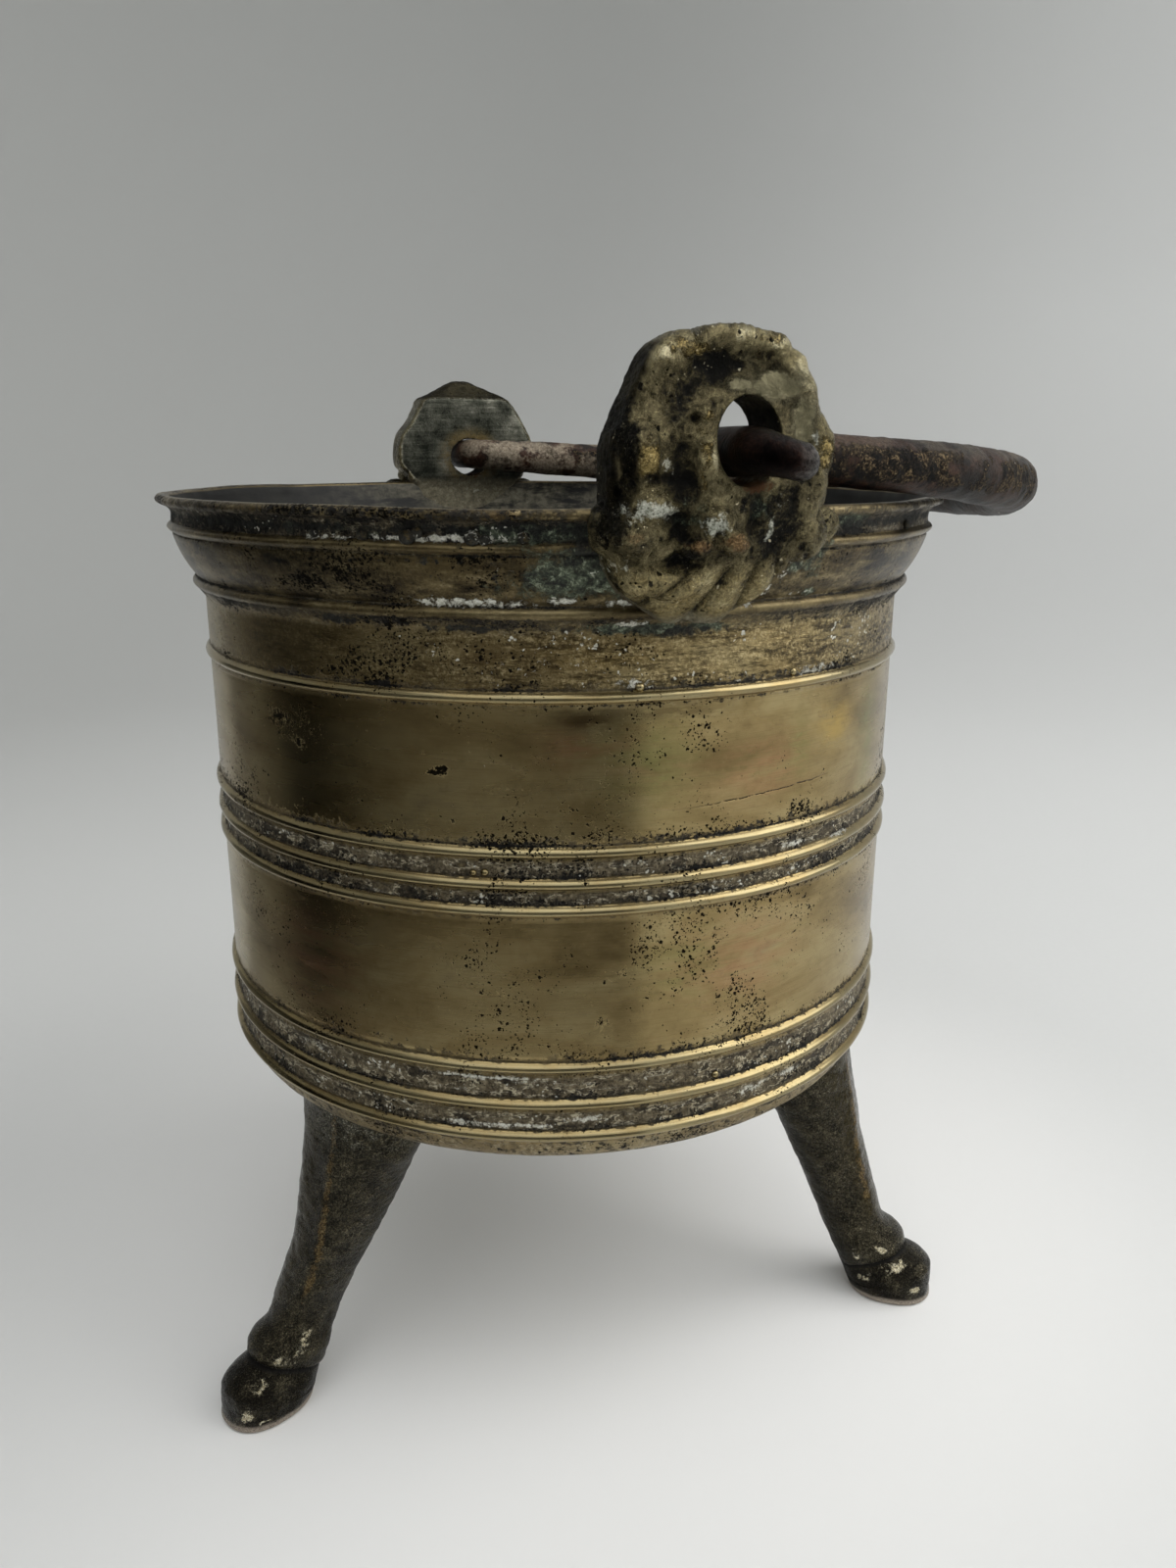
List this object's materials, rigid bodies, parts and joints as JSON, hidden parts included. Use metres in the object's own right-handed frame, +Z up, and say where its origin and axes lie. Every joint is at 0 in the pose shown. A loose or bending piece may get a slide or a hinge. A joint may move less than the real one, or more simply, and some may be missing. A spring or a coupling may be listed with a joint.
{
  "type": "tripod cauldron",
  "caption": "Cylindrical turned brass cauldron with beaded bands and flared collar, on splayed hoofed legs, with pierced rim ears and a swinging forged iron bail for hanging over a fire.",
  "frame": {"origin": "on the floor plane of the soles, under the middle of the assembly's box", "axes": "+Z up along the vessel's axis; the ears stand on -Y and +Y, so the bail's hinge runs along Y; the bail lies folded towards +X"},
  "size_m": [0.2256, 0.2216, 0.247],
  "materials": {
    "turned_brass": "aged satin with turning marks, pits and dark patina",
    "cast_leg_brass": "dark rough cast skin, worn bright on the feet",
    "cast_ear_brass": "lumpy grey-brown cast skin with lime deposits",
    "rusted_iron": "dark rusted forged iron"
  },
  "bodies": {
    "vessel": {"kettle_body": "turned_brass", "leg_left": "cast_leg_brass", "leg_right": "cast_leg_brass", "leg_rear": "cast_leg_brass", "ear_near": "cast_ear_brass", "ear_far": "cast_ear_brass"},
    "handle": {"bail": "rusted_iron"}
  },
  "joints": [
    {"name": "bail_swing", "type": "hinge", "parent": "vessel", "child": "handle", "pos_m": [-0.01085, 0, 0.22506], "axis": [0.0004, -1, 0.0063], "range_deg": [0, 186.7]}
  ]
}
